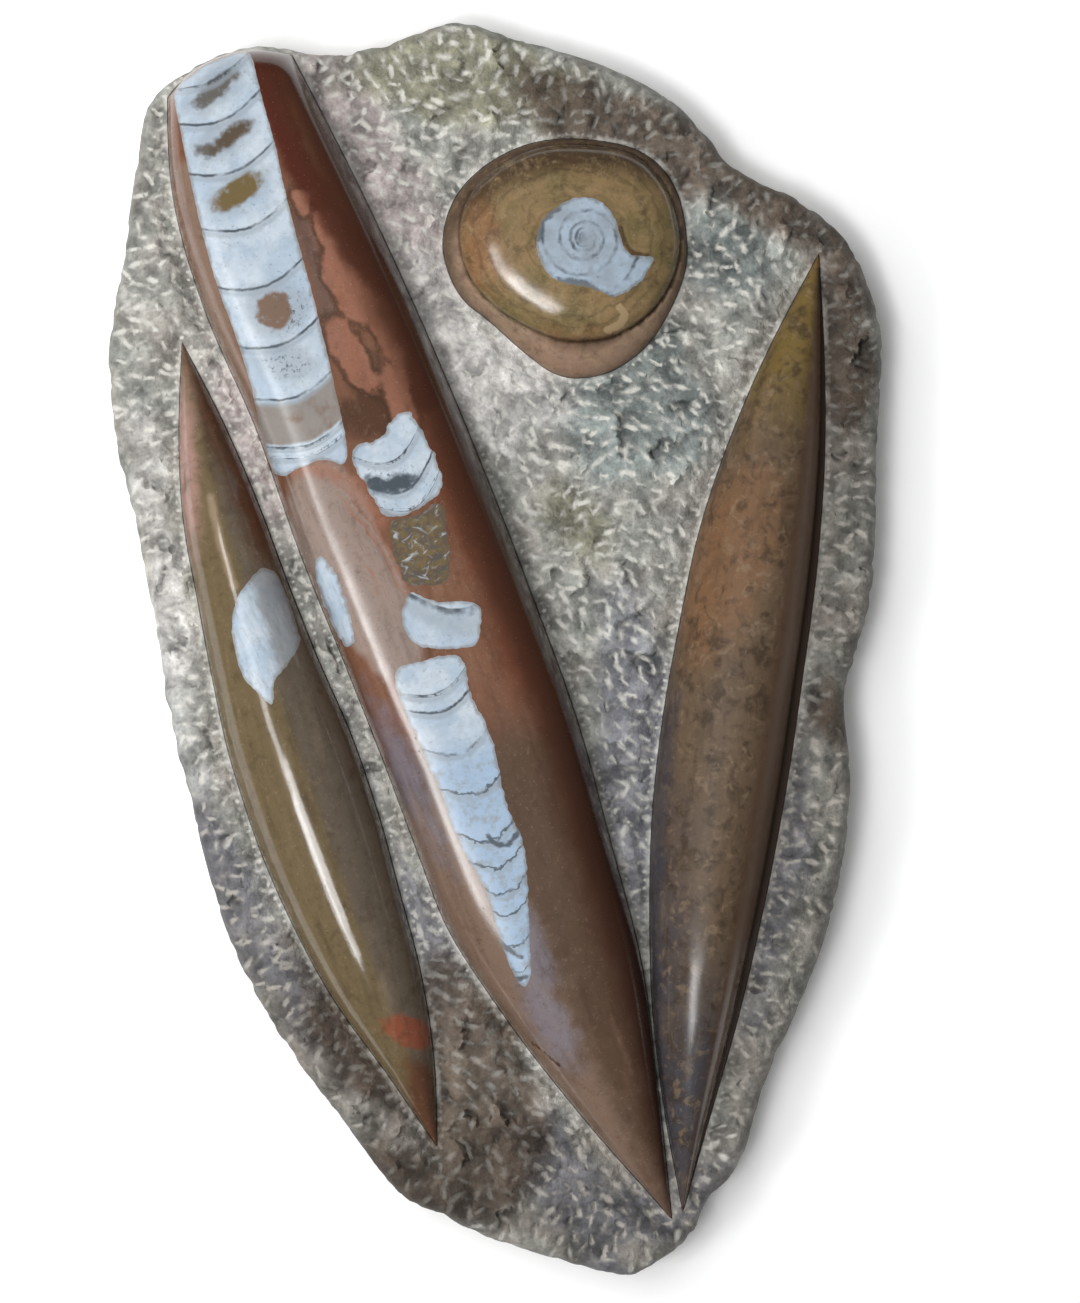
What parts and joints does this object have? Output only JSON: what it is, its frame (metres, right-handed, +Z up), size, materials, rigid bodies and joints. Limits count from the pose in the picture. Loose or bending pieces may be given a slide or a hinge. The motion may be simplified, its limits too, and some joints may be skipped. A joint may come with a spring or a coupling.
{
  "type": "orthoceras fossil plate",
  "caption": "Egg-shaped limestone plate with polished orthocones and a goniatite, white chambered shells and a chisel-pecked ground, lying on its flat back.",
  "frame": {"origin": "middle of the plate's box, on the plane of its flat back", "axes": "+Y along the plate towards its wide end, +Z up out of the polished face, +X across"},
  "size_m": [0.349, 0.565, 0.058],
  "materials": {
    "pecked_limestone": "grey-green limestone pecked with a chisel, matt, with pale bruised strokes",
    "polished_red_brown_limestone": "red-brown limestone ground round and polished",
    "polished_brown_limestone": "brown limestone with red tips, ground round and polished",
    "polished_olive_limestone": "olive and brown mottled limestone, ground round and polished",
    "polished_honey_limestone": "olive-brown limestone with a bevelled rim, polished",
    "calcite": "white chambered calcite with dark chamber walls, polished",
    "calcite_breccia": "splinters of white and olive shell in dark mud, polished"
  },
  "bodies": {
    "root": {"matrix_slab": "pecked_limestone", "orthocone_center": "polished_red_brown_limestone", "orthocone_left": "polished_brown_limestone", "orthocone_right": "polished_olive_limestone", "goniatite_disc": "polished_honey_limestone", "goniatite_coil": "calcite", "chambers_upper": "calcite", "chambers_offset": "calcite", "crushed_shell": "calcite_breccia", "chambers_loose": "calcite", "chambers_lower": "calcite", "calcite_flank": "calcite", "calcite_left": "calcite"}
  },
  "joints": []
}
